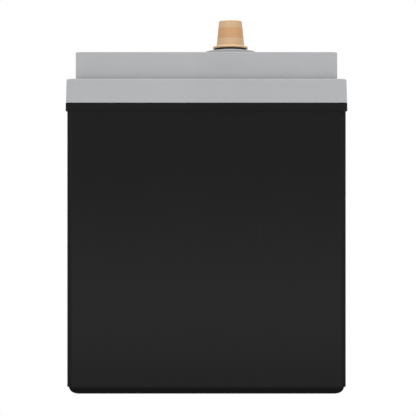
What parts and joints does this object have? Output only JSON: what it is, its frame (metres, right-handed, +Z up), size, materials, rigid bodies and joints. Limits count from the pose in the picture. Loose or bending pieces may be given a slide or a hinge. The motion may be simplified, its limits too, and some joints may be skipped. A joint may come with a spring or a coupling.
{
  "type": "battery pack",
  "caption": "Block battery pack: plain moulded case with a rounded foot and proud rim, stepped lid and tapered terminal posts on low bosses, with cells and electronics inside.",
  "frame": {"origin": "middle of the case's underside, on the surface that the battery stands on", "axes": "+X across the case, +Y along it towards the positive post's end, +Z up along the posts"},
  "size_m": [0.173, 0.33, 0.237],
  "materials": {
    "aluminium": "mill finish",
    "black_plastic": "fine moulded polypropylene, satin black",
    "board": "green circuit board",
    "brass": "turned, satin",
    "cable_black": "silicone insulation, black",
    "cable_red": "silicone insulation, red",
    "cell_wrap": "blue film wrap over an aluminium can",
    "copper": null,
    "foam": "closed-cell foam",
    "grey_plastic": "fine moulded polypropylene, satin grey",
    "insulator": "epoxy glass sheet",
    "plug_white": "nylon, natural",
    "rubber": "matt black",
    "zinc_steel": "zinc plated"
  },
  "bodies": {
    "root": {"balance_plug": "plug_white", "bms_board": "board", "bms_heat_sink": "aluminium", "bms_screw_1": "zinc_steel", "bms_screw_2": "zinc_steel", "bms_screw_3": "zinc_steel", "bms_screw_4": "zinc_steel", "bms_tray": "black_plastic", "busbar_1": "copper", "busbar_2": "copper", "busbar_3": "copper", "cable_b_minus": "cable_black", "cable_p_minus": "cable_black", "cable_positive": "cable_red", "case": "black_plastic", "cell_1": "cell_wrap", "cell_2": "cell_wrap", "cell_3": "cell_wrap", "cell_4": "cell_wrap", "cell_nut_1": "zinc_steel", "cell_nut_2": "zinc_steel", "cell_nut_3": "zinc_steel", "cell_nut_4": "zinc_steel", "cell_nut_5": "zinc_steel", "cell_nut_6": "zinc_steel", "cell_nut_7": "zinc_steel", "cell_nut_8": "zinc_steel", "cell_separator_1": "insulator", "cell_separator_2": "insulator", "cell_separator_3": "insulator", "end_plate_front": "aluminium", "end_plate_rear": "aluminium", "foam_floor": "foam", "foam_front": "foam", "foam_rear": "foam", "foam_top": "foam", "lid": "grey_plastic", "lid_gasket": "rubber", "lug_cell_negative": "copper", "lug_cell_positive": "copper", "lug_post_negative": "copper", "lug_post_positive": "copper", "pack_strap_lower": "zinc_steel", "pack_strap_upper": "zinc_steel", "post_negative": "brass", "post_nut_negative": "zinc_steel", "post_nut_positive": "zinc_steel", "post_positive": "brass", "post_seal_negative": "rubber", "post_seal_positive": "rubber", "post_washer_negative": "zinc_steel", "post_washer_positive": "zinc_steel", "sense_lead_0": "cable_black", "sense_lead_1": "cable_black", "sense_lead_2": "cable_black", "sense_lead_3": "cable_black", "sense_lead_4": "cable_black", "temperature_sensor": "cable_black"}
  },
  "joints": []
}
